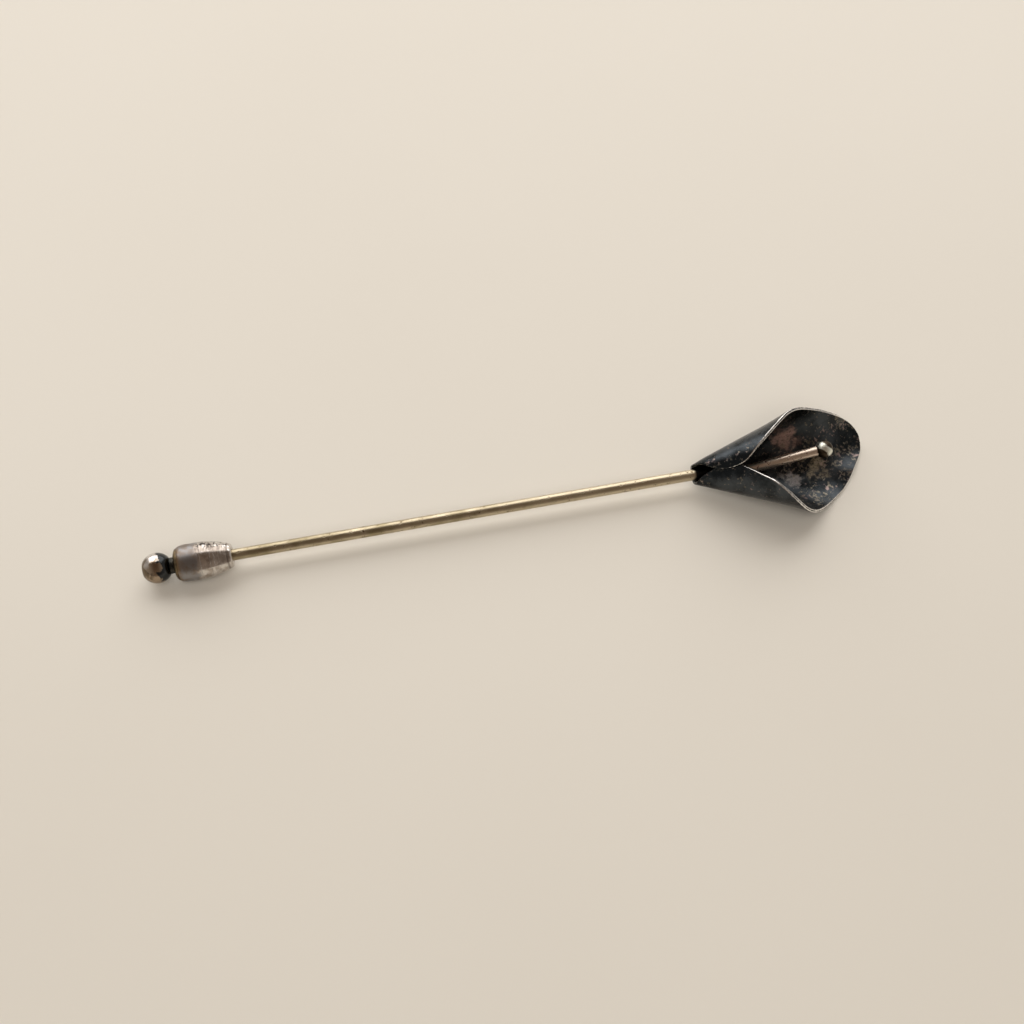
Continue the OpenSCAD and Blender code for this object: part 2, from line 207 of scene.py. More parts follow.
def soften(section, radius, steps=6, sharp=25):
    """Rounds each corner of a closed section that turns by more than sharp degrees.

    The rounding takes at most MOST_CUT of a side. A point a little before and after it keeps the
    smooth shading from spreading over the flat sides.
    """
    points = [Vector(p) for p in section]
    out = []
    for i, corner in enumerate(points):
        before, after = points[i - 1], points[(i + 1) % len(points)]
        u, w = corner - before, after - corner
        turn = u.angle(w, 0)
        if corner.y < ON_AXIS or math.degrees(turn) < sharp:
            out.append(corner)
            continue
        cut = min(radius * math.tan(turn / 2), MOST_CUT * u.length, MOST_CUT * w.length)
        start, end = corner - u.normalized() * cut, corner + w.normalized() * cut
        out.append(start - u.normalized() * cut * LEAD_IN)
        for k in range(steps + 1):
            t = k / steps
            out.append(start * (1 - t) ** 2 + corner * 2 * t * (1 - t) + end * t * t)
        out.append(end + w.normalized() * cut * LEAD_IN)
    return [tuple(p) for p in out]


def finish_mesh(name, mesh):
    """Closes a bmesh into a smooth shaded object with outward normals."""
    bmesh.ops.recalc_face_normals(mesh, faces=mesh.faces)
    data = bpy.data.meshes.new(name)
    mesh.to_mesh(data)
    mesh.free()
    for face in data.polygons:
        face.use_smooth = True
    piece = bpy.data.objects.new(name, data)
    bpy.context.scene.collection.objects.link(piece)
    return piece


def revolve(name, section, place=pin_point, segments=96):
    """A closed solid of revolution. Its section's (along, radius) points run in order."""
    mesh = bmesh.new()
    rings = []
    for x, r in section:
        count = segments if r > ON_AXIS else 1
        angles = [2 * math.pi * k / segments for k in range(count)]
        points = [place(x, r * math.cos(a), r * math.sin(a)) for a in angles]
        rings.append([mesh.verts.new(point) for point in points])
    for a, b in zip(rings, rings[1:] + rings[:1]):
        if len(a) == 1 and len(b) == 1:
            continue
        for k in range(segments):
            n = (k + 1) % segments
            corners = [a[k % len(a)], b[k % len(b)], b[n % len(b)], a[n % len(a)]]
            mesh.faces.new(list(dict.fromkeys(corners)))
    return finish_mesh(name, mesh)


def along_line(start, end):
    """A place function for revolve, about a line between two points in metres."""
    run = (end - start).normalized()
    side = run.cross(Vector((0, 1, 0))).normalized()
    other = run.cross(side)
    return lambda x, y, z: start + (run * x + side * y + other * z) * MM


# ---- petal ----

# rows and columns of each skin; rows run from BASE_ROW to TIP_ROW of the outline
PETAL_ROWS = 150
PETAL_COLUMNS = 110
BASE_ROW = 0.02
TIP_ROW = 0.945
# past this part of the outline the sheet's normal turns no further
LAST_NORMAL = 0.985
# how far the skins stop short of the sheet's edge, and at most what share of a row that is
RIM_INSET = 0.13
MOST_INSET = 0.45
# below 1 the rim's round is squarer than a half circle
RIM_SQUARE = 0.62
# how worn the rim is across the thickness of the sheet: both corners shine, the middle less
RIM_WEAR = (0.75, 1.0, 0.85, 0.5, 0.85, 1.0, 0.75)
BORDER_WEAR = 0.3
# near the flower's base the rim is less worn, by this factor, which rises to 1 over BASE_WEAR_X
BASE_WEAR = 0.55
BASE_WEAR_X = (2.2, 5.0)


def outline_at(v):
    """The petal's outline as a smooth curve through its points, with v from 0 to 1."""
    last = len(PETAL_OUTLINE) - 1
    place = max(0.0, min(1.0, v)) * last
    i = min(int(place), last - 1)
    t = place - i
    b, c = Vector(PETAL_OUTLINE[i]), Vector(PETAL_OUTLINE[i + 1])
    a = Vector(PETAL_OUTLINE[i - 1]) if i else 2 * b - c
    d = Vector(PETAL_OUTLINE[i + 2]) if i < last - 1 else 2 * c - b
    cubic = (3 * b - a - 3 * c + d) * t**3
    return 0.5 * (2 * b + (c - a) * t + (2 * a - 5 * b + 4 * c - d) * t * t + cubic)


def petal_middle(v, across):
    """The middle of the sheet in the flower's own frame, from the near edge to the far one."""
    x, near, far = outline_at(v)
    angle = lerp(near, far, across)
    lift = LAP_LIFT * ease(*LAP_LIFT_ANGLES, angle) - LAP_TUCK * ease(*LAP_TUCK_ANGLES, angle)
    lap = ease(*LAP_START, x) * (1 - ease(*LAP_END, x)) * lift
    flare = LIP_FLARE * math.exp(-(((x - MOUTH) / MOUTH_SPREAD) ** 2))
    flare *= ease(1 - LIP_SHARE, 1, across) + ease(LIP_SHARE, 0, across)
    back = TIP_TURN * ease(*TIP_TURN_X, x)
    back *= 1 - ease(*TIP_TURN_SPREAD, abs(angle - TIP_TURN_MIDDLE))
    r = BASE_R + x * CONE_SLOPE + lap + flare + back
    centre = BACK_RISE * x * CONE_SLOPE + TIP_CURL * (max(0, x - CURL_START) / CURL_L) ** 2
    a = math.radians(angle)
    return Vector((x + back * TIP_TURN_REACH, r * math.sin(a), centre - r * math.cos(a)))


def petal_normal(v, across, step=0.002):
    """The sheet's normal, which points into the mouth at the petal's back."""
    w = min(v, LAST_NORMAL)
    along = petal_middle(w + step, across) - petal_middle(max(w - step, 0), across)
    over = petal_middle(w, min(across + step, 1)) - petal_middle(w, max(across - step, 0))
    return along.cross(over).normalized()


def sheet_width(v):
    """Length of one row of the sheet, from the near to the far edge, in mm."""
    steps = 12
    points = [petal_middle(v, k / steps) for k in range(steps + 1)]
    return sum((b - a).length for a, b in zip(points, points[1:]))


def build_petal():
    """Two skins set in from the sheet's edge, joined by a rim with round corners."""
    rows = [lerp(BASE_ROW, TIP_ROW, i / PETAL_ROWS) for i in range(PETAL_ROWS + 1)]
    inset = [min(RIM_INSET / sheet_width(v), MOST_INSET) for v in rows]
    mesh = bmesh.new()
    rim = mesh.verts.layers.float.new("rim")
    mouth = mesh.verts.layers.float.new("mouth")

    def place(i, j):
        """Row and column of the skin as a place on the sheet."""
        return rows[i], lerp(inset[i], 1 - inset[i], j / PETAL_COLUMNS)

    def add(point, on_rim, inner):
        vert = mesh.verts.new(flower_point(point))
        vert[rim] = on_rim
        vert[mouth] = inner
        return vert

    skins = []
    for inner in (0, 1):
        skin = []
        for i in range(PETAL_ROWS + 1):
            row = []
            for j in range(PETAL_COLUMNS + 1):
                normal = petal_normal(*place(i, j)) * (inner - 0.5) * SHEET_T
                border = i in (0, PETAL_ROWS) or j in (0, PETAL_COLUMNS)
                wear = BORDER_WEAR if border else 0.0
                row.append(add(petal_middle(*place(i, j)) + normal, wear, inner))
            skin.append(row)
        skins.append(skin)
        for i in range(PETAL_ROWS):
            for j in range(PETAL_COLUMNS):
                low, high = skin[i], skin[i + 1]
                mesh.faces.new((low[j], high[j], high[j + 1], low[j + 1]))

    # once round the skins' border: its row and column, then the place on the sheet's own edge
    # that the rim reaches there
    near_edge, far_edge = 0, 1
    climb = [lerp(0, TIP_ROW, i / PETAL_ROWS) for i in range(PETAL_ROWS + 1)]
    loop = [(i, 0, climb[i], near_edge) for i in range(PETAL_ROWS)]
    for j in range(PETAL_COLUMNS):
        turn = 2 * j / PETAL_COLUMNS - 1
        edge = near_edge if turn < 0 else far_edge
        loop.append((PETAL_ROWS, j, lerp(1, TIP_ROW, abs(turn)), edge))
    loop += [(i, PETAL_COLUMNS, climb[i], far_edge) for i in range(PETAL_ROWS, 0, -1)]
    loop += [(0, j, 0, j / PETAL_COLUMNS) for j in range(PETAL_COLUMNS, 0, -1)]
    base_wear = [ease(*BASE_WEAR_X, outline_at(v)[0]) for _, _, v, _ in loop]
    strips = [[skins[0][i][j] for i, j, _, _ in loop]]
    for k, wear in enumerate(RIM_WEAR):
        a = math.radians(lerp(-90, 90, (k + 1) / (len(RIM_WEAR) + 1)))
        over = math.copysign(abs(math.sin(a)) ** RIM_SQUARE, math.sin(a)) * SHEET_T / 2
        out = math.cos(a) ** RIM_SQUARE
        strip = []
        for (i, j, v, across), share in zip(loop, base_wear):
            start = petal_middle(*place(i, j))
            edge = petal_middle(v, across)
            point = start + (edge - start) * out + petal_normal(*place(i, j)) * over
            strip.append(add(point, wear * lerp(BASE_WEAR, 1, share), 0.5))
        strips.append(strip)
    strips.append([skins[1][i][j] for i, j, _, _ in loop])
    for a, b in zip(strips, strips[1:]):
        for k in range(len(loop)):
            n = (k + 1) % len(loop)
            mesh.faces.new((a[k], a[n], b[n], b[k]))
    return finish_mesh("petal_sheet", mesh)


# ---- spadix ----

BEAD_HOLE_GAP = 0.01


def build_spadix_wire():
    start, end = flower_point(SPADIX_FOOT), flower_point(SPADIX_HEAD)
    length = (end - start).length / MM - BEAD_HOLE_END
    section = [(0, 0), (0, SPADIX_R), (length, SPADIX_R), (length, 0)]
    section = soften(section, WIRE_END_ROUND)
    return revolve("spadix_rod", section, along_line(start, end), segments=64)


def build_bead():
    start, end = flower_point(SPADIX_FOOT), flower_point(SPADIX_HEAD)
    length = (end - start).length / MM
    hole_r = SPADIX_R + BEAD_HOLE_GAP
    mouth = math.degrees(math.acos(hole_r / BEAD_R)) + 90
    section = [(length - BEAD_HOLE_END, 0), (length - BEAD_HOLE_END, hole_r)]
    section += arc((length, 0), BEAD_R, BEAD_R, mouth, 0, steps=40)
    section[-1] = (length + BEAD_R, 0)
    section = soften(section, EDGE_ROUND)
    return revolve("spadix_ball", section, along_line(start, end), segments=72)


# ---- stem ----


def build_stem():
    """The shank: a ground point that swells to the wire, and a tapered end in the flower."""
    point_steps, wire_steps = 24, 60
    end = FLOWER + STEM_IN_FLOWER
    point_end = TIP + POINT_L
    section = [(TIP, 0)]
    section += arc((TIP + TIP_R, 0), TIP_R, TIP_R, 170, 90, steps=5)
    section += [
        (lerp(point_end, TIP + TIP_R, t), lerp(STEM_R, TIP_R, t**POINT_FULLNESS))
        for t in [1 - i / point_steps for i in range(1, point_steps + 1)]
    ]
    section += [
        (point_end + SHANK_L * k / wire_steps, STEM_R) for k in range(1, wire_steps + 1)
    ]
    section += [(end, STEM_END_R), (end, 0)]
    return revolve("pin_wire", soften(section, EDGE_ROUND), segments=64)


# ---- clutch ----

# the plain steps beside a turned ring are dropped within this much, and its walls lean this much
RING_CLEAR = 0.02
RING_LEAN = 0.01
NOSE_CHAMFER = 0.04
# a circle on the knob's flat end, so that the end shades as flat
KNOB_FLAT_RING_R = 0.3
# how much closer than even the spring's end turns lie
CLOSED_ENDS = 0.6


def taper_r(x):
    """Outside radius of the shell where it tapers towards the nose."""
    t = (x - BELLY_FRONT) / (SHELL_FRONT - BELLY_FRONT)
    return lerp(BARREL_R, SHELL_NOSE_R, t**TAPER_FULLNESS)


def build_shell():
    """The turned barrel, with rings cut round its taper and a seat for the sleeve inside."""
    rear_l, rear_rise = SHELL_REAR - BELLY_REAR, BARREL_R - SHELL_REAR_R
    outside = arc((BELLY_REAR, SHELL_REAR_R), rear_l, rear_rise, 0, 90, steps=20)
    steps = 48
    stations = [lerp(BELLY_FRONT, SHELL_FRONT, i / steps) for i in range(steps + 1)]
    for ring in RING_STATIONS:
        low, high = ring - RING_CLEAR, ring + RING_W + RING_CLEAR
        stations = [x for x in stations if not low < x < high]
        stations += [ring, ring + RING_W]
    for x in sorted(stations):
        outside.append((x, taper_r(x)))
        if x in RING_STATIONS:
            outside.append((x + RING_LEAN, taper_r(x) - RING_DEPTH))
            outside.append((x + RING_W - RING_LEAN, taper_r(x) - RING_DEPTH))
    inside = [
        (SHELL_FRONT, NOSE_SEAT_R), (SLEEVE_FRONT, NOSE_SEAT_R), (SLEEVE_FRONT, SLEEVE_FRONT_R),
        (SLEEVE_REAR, SLEEVE_REAR_R), (SLEEVE_REAR, CAVITY_R), (SHELL_REAR, CAVITY_R),
    ]
    return revolve("clutch_barrel", soften(outside + inside, FINE_EDGE_ROUND), segments=128)


def build_nose_ring():
    section = [
        (SLEEVE_FRONT, NOSE_BORE_R), (SLEEVE_FRONT, NOSE_SEAT_R), (SHELL_FRONT, NOSE_SEAT_R),
    ]
    ring_l, ring_rise = BARREL_L - SHELL_FRONT, NOSE_RIM_R - NOSE_FACE_R
    section += arc((SHELL_FRONT, NOSE_FACE_R), ring_l, ring_rise, 90, 0, steps=14)
    section += [
        (BARREL_L, NOSE_BORE_R + NOSE_CHAMFER), (BARREL_L - NOSE_CHAMFER, NOSE_BORE_R),
    ]
    return revolve("clutch_nose", soften(section, FINE_EDGE_ROUND), segments=128)


def build_rear_bush():
    section = [
        (0, BUSH_BORE_R), (BUSH_FRONT, BUSH_BORE_R),
        (BUSH_FRONT, CAVITY_R), (SHELL_REAR, CAVITY_R),
    ]
    face_rise = BUSH_RIM_R - BUSH_FACE_R
    section += arc((SHELL_REAR, BUSH_FACE_R), -SHELL_REAR, face_rise, 90, 0, steps=14)
    return revolve("clutch_rear_bush", soften(section, FINE_EDGE_ROUND), segments=128)


def build_plunger():
    """The neck and its rod, bored from the front for the shank's point."""
    section = [
        (-NECK_L - SPIGOT_L, 0), (-NECK_L - SPIGOT_L, SPIGOT_R), (-NECK_L, SPIGOT_R),
        (-NECK_L, NECK_R), (PLUNGER_FRONT, NECK_R), (PLUNGER_FRONT, PLUNGER_BORE_R),
        (PLUNGER_BORE, PLUNGER_BORE_R), (PLUNGER_BORE, 0),
    ]
    return revolve("clutch_plunger", soften(section, EDGE_ROUND), segments=96)


def build_knob():
    """A ball with a flat outer end, bored for the plunger's spigot."""
    centre = -NECK_L - math.sqrt(KNOB_R**2 - NECK_R**2)
    inner_r, inner_flat = KNOB_R - KNOB_EDGE_R, KNOB_FLAT - KNOB_EDGE_R
    edge = math.degrees(math.asin(inner_flat / inner_r))
    neck = math.degrees(math.asin(NECK_R / KNOB_R))
    edge_centre = (centre - inner_flat, math.sqrt(inner_r**2 - inner_flat**2))
    section = [(-NECK_L, SPIGOT_R)]
    section += arc((centre, 0), KNOB_R, KNOB_R, neck, 90 + edge, steps=48)
    section += arc(edge_centre, KNOB_EDGE_R, KNOB_EDGE_R, 90 + edge, 180, steps=10)[1:]
    section += [
        (centre - KNOB_FLAT, KNOB_FLAT_RING_R), (centre - KNOB_FLAT, 0),
        (-NECK_L - SPIGOT_L, 0), (-NECK_L - SPIGOT_L, SPIGOT_R),
    ]
    return revolve("clutch_knob", soften(section, EDGE_ROUND), segments=128)


def build_spring():
    """A round wire coil whose end turns close up, with flat ends."""
    low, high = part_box("spring")
    start = (low.x - REAR) / MM + SPRING_WIRE_R
    end = (high.x - REAR) / MM - SPRING_WIRE_R
    steps, sides = 220, 14
    mesh = bmesh.new()
    rings = []
    for i in range(steps + 1):
        share = i / steps
        x = lerp(start, end, lerp(share, ease(0, 1, share), CLOSED_ENDS))
        a = 2 * math.pi * SPRING_TURNS * share
        ring = []
        for k in range(sides):
            b = 2 * math.pi * k / sides
            r = SPRING_R + SPRING_WIRE_R * math.cos(b)
            along = x + SPRING_WIRE_R * math.sin(b)
            ring.append(mesh.verts.new(pin_point(along, r * math.cos(a), r * math.sin(a))))
        rings.append(ring)
    for a, b in zip(rings, rings[1:]):
        for k in range(sides):
            n = (k + 1) % sides
            mesh.faces.new((a[k], a[n], b[n], b[k]))
    mesh.faces.new(rings[0])
    mesh.faces.new(rings[-1])
    return finish_mesh("clutch_spring_coil", mesh)


# ---- materials ----


class Metal:
    """A metal's node tree. Each helper adds a node and returns its output."""

    def __init__(self, name, metallic=1.0):
        self.material = bpy.data.materials.new(name)
        self.material.use_nodes = True
        self.nodes = self.material.node_tree.nodes
        self.links = self.material.node_tree.links
        self.bsdf = self.nodes["Principled BSDF"]
        self.bsdf.inputs["Metallic"].default_value = metallic
        self.place = self.nodes.new("ShaderNodeTexCoord").outputs["Object"]

    def feed(self, socket, value):
        if isinstance(value, bpy.types.NodeSocket):
            self.links.new(value, socket)
        else:
            socket.default_value = value

    def noise(self, size, detail=4.0, rough=0.55, stretch=(1, 1, 1), shift=0.0, warp=0.0):
        """Noise with features about size mm across, pulled out along each axis by stretch."""
        mapping = self.nodes.new("ShaderNodeMapping")
        scale = [1 / (size * MM * s) for s in stretch]
        mapping.inputs["Scale"].default_value = scale
        mapping.inputs["Location"].default_value = (shift, shift, shift)
        self.feed(mapping.inputs["Vector"], self.place)
        node = self.nodes.new("ShaderNodeTexNoise")
        node.inputs["Scale"].default_value = 1.0
        node.inputs["Detail"].default_value = detail
        node.inputs["Roughness"].default_value = rough
        node.inputs["Distortion"].default_value = warp
        self.feed(node.inputs["Vector"], mapping.outputs["Vector"])
        return node.outputs["Fac"]

    def attribute(self, name):
        node = self.nodes.new("ShaderNodeAttribute")
        node.attribute_name = name
        return node.outputs["Fac"]

    def coordinate(self, axis, origin):
        """The place along an axis, in mm from an origin that is given in metres."""
        split = self.nodes.new("ShaderNodeSeparateXYZ")
        self.feed(split.inputs["Vector"], self.place)
        moved = self.math("SUBTRACT", split.outputs[axis], origin)
        return self.math("DIVIDE", moved, MM)

    def along(self):
        """The place along the shank, in mm from the barrel's rear face."""
        return self.coordinate("X", REAR)

    def across(self):
        """The place across the shank, in mm from its axis towards the back of the table."""
        return self.coordinate("Y", AXIS_Y)

    def near(self, point, reach, ragged):
        """1 at a point and 0 beyond reach mm from it, with a ragged edge."""
        node = self.nodes.new("ShaderNodeVectorMath")
        node.operation = "DISTANCE"
        self.feed(node.inputs[0], self.place)
        node.inputs[1].default_value = point
        away = self.math("ADD", self.math("DIVIDE", node.outputs["Value"], MM), ragged)
        return self.band(away, 0.0, reach, 1, 0)

    def math(self, operation, a, b=0.0, clamp=False):
        node = self.nodes.new("ShaderNodeMath")
        node.operation = operation
        node.use_clamp = clamp
        self.feed(node.inputs[0], a)
        self.feed(node.inputs[1], b)
        return node.outputs["Value"]

    def band(self, value, low, high, to_low=0.0, to_high=1.0):
        """Value rescaled smoothly from low..high to to_low..to_high, and held beyond."""
        node = self.nodes.new("ShaderNodeMapRange")
        node.interpolation_type = "SMOOTHSTEP"
        for key, number in (
            ("From Min", low), ("From Max", high), ("To Min", to_low), ("To Max", to_high),
        ):
            self.feed(node.inputs[key], number)
        self.feed(node.inputs["Value"], value)
        return node.outputs["Result"]

    def mix(self, share, a, b):
        node = self.nodes.new("ShaderNodeMix")
        node.data_type = "RGBA"
        self.feed(node.inputs[0], share)
        self.feed(node.inputs[6], a if isinstance(a, bpy.types.NodeSocket) else (*a, 1))
        self.feed(node.inputs[7], b if isinstance(b, bpy.types.NodeSocket) else (*b, 1))
        return node.outputs[2]

    def finish(self, colour, roughness, height=None, depth=0.0):
        """Sets the metal's colour, roughness and, where given, a bump of depth mm."""
        self.feed(self.bsdf.inputs["Base Color"], colour)
        self.feed(self.bsdf.inputs["Roughness"], roughness)
        if height is not None:
            bump = self.nodes.new("ShaderNodeBump")
            bump.inputs["Distance"].default_value = depth * MM
            self.feed(bump.inputs["Height"], height)
            self.feed(self.bsdf.inputs["Normal"], bump.outputs["Normal"])
        return self.material


# patches inside the flower where the patina is rubbed thin, and below the bead a gold one that
# is a painted reflection of the spadix wire: the place along, across and above the shank, how
# far the patch reaches, and its colour
PATINA_PATCHES_AND_PAINTED_REFLECTION = [
    ((FLOWER + 9.2, 1.6, 1.0), 2.0, (0.50, 0.33, 0.29)),
    # the gold patch below the bead is a painted reflection of the spadix wire in the petal
    ((FLOWER + 12.2, -0.8, -1.0), 1.5, (0.44, 0.37, 0.26)),
    ((FLOWER + 9.4, -1.6, -1.2), 1.3, (0.33, 0.31, 0.30)),
]


def oxidised_silver():
    """Black silver, mottled where the patina is rubbed through, with a bright worn rim."""
    m = Metal("oxidised_silver")
    coal, slate = (0.018, 0.021, 0.023), (0.068, 0.077, 0.085)
    drab, khaki = (0.15, 0.135, 0.105), (0.29, 0.26, 0.21)
    dusty_pink, bare_silver = (0.34, 0.26, 0.24), (0.88, 0.86, 0.83)

    rim = m.attribute("rim")
    inside = m.band(m.attribute("mouth"), 0.55, 0.8)
    deep = m.band(m.along(), FLOWER + 4.5, FLOWER + 10.5)
    cloud = m.noise(2.4, detail=4, shift=3.1)
    grain = m.noise(0.35, detail=4, rough=0.7, shift=6.4)
    fleck = m.noise(0.30, detail=5, rough=0.62, shift=1.3)
    ragged = m.band(m.noise(1.1, detail=4, rough=0.65, shift=7.7), 0.32, 0.68, -0.7, 0.9)

    # patches rubbed thin, and below the bead a painted reflection of the spadix wire, broken up
    # by flecks
    base = m.mix(m.band(cloud, 0.38, 0.66), coal, slate)
    broken = m.math("MULTIPLY", m.band(fleck, 0.34, 0.60, 0.30, 1.0), inside)
    thin_and_reflection = 0.0
    for place, reach, tone in PATINA_PATCHES_AND_PAINTED_REFLECTION:
        patch = m.math("MULTIPLY", m.near(pin_point(*place), reach, ragged), broken)
        base = m.mix(patch, base, tone)
        thin_and_reflection = m.math("ADD", thin_and_reflection, patch, clamp=True)

    # flecks rubbed through, more of them deep in the mouth
    where = m.noise(1.7, detail=3, shift=5.9)
    level = m.math("ADD", fleck, m.band(where, 0.38, 0.66, -0.07, 0.05))
    level = m.math("ADD", level, m.math("MULTIPLY", m.math("MULTIPLY", inside, deep), 0.060))
    level = m.math("SUBTRACT", level, 0.020)
    rubbed_and_painted_highlight = m.band(level, 0.56, 0.66)
    olive = m.mix(m.band(grain, 0.4, 0.6), drab, khaki)
    pink = m.band(m.noise(0.8, detail=2, shift=9.2), 0.52, 0.62)
    tint = m.mix(pink, olive, dusty_pink)
    colour = m.mix(m.math("MULTIPLY", rubbed_and_painted_highlight, 0.75), base, tint)

    # the rim, worn to bare silver
    wear_and_painted_highlight = m.band(m.math("ADD", rim, m.band(grain, 0.3, 0.7, -0.16, 0.16)), 0.5, 0.85)
    colour = m.mix(wear_and_painted_highlight, colour, bare_silver)

    rough = m.math("ADD", m.band(cloud, 0.3, 0.7, 0.20, 0.32), m.math("MULTIPLY", deep, 0.05))
    rough = m.math("SUBTRACT", rough, m.math("MULTIPLY", wear_and_painted_highlight, 0.12))
    rough = m.math("ADD", rough, m.math("MULTIPLY", thin_and_reflection, 0.22))
    height = m.math("ADD", m.math("MULTIPLY", grain, 0.8), m.math("MULTIPLY", rubbed_and_painted_highlight, -0.4))
    return m.finish(colour, rough, height, 0.014)


# painted shade: black for the shank inside the flower's base, where shade falls
PAINTED_SHADE_BLACK = (0.02, 0.02, 0.02)


def wire_metal(name, light, dark, stain, pitted=0.60, painted_shade_from=None):
    """Drawn wire: streaks along it, tarnish in patches, small nicks, lighter towards the flower
    as a painted highlight, and black as painted shade inside the flower's base.

    Less of it is pitted as `pitted` rises. Past the place that the last argument gives, in mm
    along the pin, it is painted black as shade.
    """
    m = Metal(name)
    streak = m.noise(0.30, detail=2, stretch=(12, 1, 1))
    patch = m.noise(1.3, detail=4, rough=0.6, stretch=(2, 1, 1), shift=4.4)
    pits = m.noise(0.34, detail=3, rough=0.65, shift=8.8)
    # painted highlight: the wire is made lighter towards the flower, where its highlight is
    # brighter
    wear_and_painted_highlight = m.band(m.along(), BARREL_L + 15, FLOWER, 0.0, 0.35)
    colour = m.mix(m.band(m.math("SUBTRACT", patch, wear_and_painted_highlight), 0.30, 0.62), light, dark)
    colour = m.mix(m.band(pits, pitted, pitted + 0.12), colour, stain)
    # painted shade: the shank turns black inside the flower's base
    if painted_shade_from is not None:
        black = m.band(m.along(), painted_shade_from, painted_shade_from + 0.3)
        colour = m.mix(black, colour, PAINTED_SHADE_BLACK)
    rough = m.band(patch, 0.3, 0.7, 0.30, 0.38)
    rough = m.math("ADD", rough, m.band(streak, 0.3, 0.7, -0.03, 0.04))
    nicks = m.band(pits, pitted - 0.02, pitted + 0.14, 0, -1)
    height = m.math("ADD", m.math("MULTIPLY", streak, 0.3), nicks)
    return m.finish(colour, rough, height, 0.02)


def turned_steel():
    """Steel: a dull grey rear half, a scratched bright front and faint turning marks."""
    m = Metal("turned_steel")
    dull_grey, dull_brown = (0.31, 0.30, 0.30), (0.26, 0.22, 0.19)
    bright, stained = (0.74, 0.70, 0.66), (0.44, 0.38, 0.33)
    nick, rust, seam_darkening = (0.05, 0.04, 0.035), (0.22, 0.14, 0.07), (0.14, 0.11, 0.09)

    marks = m.noise(0.16, detail=3, rough=0.6, stretch=(1, 90, 90))
    scratch = m.noise(0.20, detail=4, rough=0.7, stretch=(1, 3, 3), shift=6.1)
    patch = m.noise(0.9, detail=4, shift=3.3)
    front = m.band(m.math("ADD", m.along(), m.band(patch, 0.35, 0.65, -0.2, 0.2)), 1.9, 2.5)
    rear_half = m.mix(m.band(patch, 0.38, 0.62), dull_grey, dull_brown)
    front_half = m.mix(m.band(patch, 0.40, 0.62), bright, stained)
    colour = m.mix(front, rear_half, front_half)

    # scratches in a strip along the front's upper side
    scuffed = m.math("MULTIPLY", front, m.band(m.across(), -0.2, 0.8, 0.15, 1.0))
    scuffed = m.math("MULTIPLY", scuffed, m.band(m.across(), 1.1, 1.6, 1.0, 0.3))
    nicks = m.math("MULTIPLY", scuffed, m.band(scratch, 0.51, 0.56))
    colour = m.mix(nicks, colour, nick)

    # a brown stain at the rear edge, and a darker line at the seam beside the nose ring
    edge = m.band(m.along(), 0.40, 0.80, 1, 0)
    colour = m.mix(m.math("MULTIPLY", edge, m.band(patch, 0.3, 0.6, 0.2, 0.9)), colour, rust)
    seam = m.math("ABSOLUTE", m.math("SUBTRACT", m.along(), SHELL_FRONT - 0.06))
    colour = m.mix(m.band(seam, 0.04, 0.12, 0.55, 0), colour, seam_darkening)

    rough = m.math("ADD", m.band(front, 0, 1, 0.39, 0.18), m.band(patch, 0.3, 0.7, -0.03, 0.05))
    lines = m.math("MULTIPLY", marks, m.band(front, 0, 1, 0.2, 0.6))
    scored = m.math("MULTIPLY", m.math("MULTIPLY", scratch, scuffed), 1.8)
    return m.finish(colour, rough, m.math("ADD", lines, scored), 0.018)


def polished_steel():
    """The nose ring, rubbed bright by the shank and by fingers."""
    m = Metal("polished_steel")
    bright, stained = (0.66, 0.62, 0.58), (0.40, 0.34, 0.29)
    smear = m.noise(0.6, detail=3, shift=2.6)
    fine = m.noise(0.16, detail=3, stretch=(1, 20, 20), shift=0.7)
    colour = m.mix(m.band(smear, 0.45, 0.65), bright, stained)
    return m.finish(colour, m.band(smear, 0.3, 0.7, 0.14, 0.24), fine, 0.006)


def bright_silver():
    """The two solders."""
    m = Metal("bright_silver")
    bright, stained = (0.72, 0.70, 0.67), (0.42, 0.34, 0.25)
    smear = m.noise(0.9, detail=4, shift=1.9)
    fine = m.noise(0.14, detail=4, rough=0.7, shift=5.1)
    colour = m.mix(m.band(smear, 0.42, 0.66), bright, stained)
    return m.finish(colour, m.band(smear, 0.3, 0.7, 0.10, 0.18), fine, 0.006)


def knob_silver():
    """The knob: bright on its far side, black by the neck as painted reflection, brown at the
    outer end.
    """
    m = Metal("knob_silver")
    bright, stained = (0.70, 0.66, 0.62), (0.37, 0.29, 0.21)
    black, brown = (0.045, 0.048, 0.050), (0.13, 0.10, 0.065)
    smear = m.noise(0.8, detail=3, shift=1.9, warp=0.6)
    fine = m.noise(0.14, detail=4, rough=0.7, shift=5.1)
    side = m.math("ADD", m.along(), m.band(smear, 0.35, 0.65, -0.35, 0.35))
    lower = m.math("ADD", m.across(), m.band(smear, 0.35, 0.65, -0.4, 0.4))
    colour = m.mix(m.band(lower, -0.3, 0.3, 1, 0), bright, stained)
    # painted reflection: the black band beside the neck stands for the dark neck mirrored in the
    # knob
    colour = m.mix(m.band(side, -1.35, -1.15), colour, black)
    colour = m.mix(m.band(side, -2.45, -2.05, 0.85, 0), colour, brown)
    return m.finish(colour, m.band(smear, 0.3, 0.7, 0.12, 0.20), fine, 0.006)


# the direction across the bead in which its bright stroke, a painted highlight, is narrow
STROKE_ACROSS = (0.71, 0.61, 0.35)


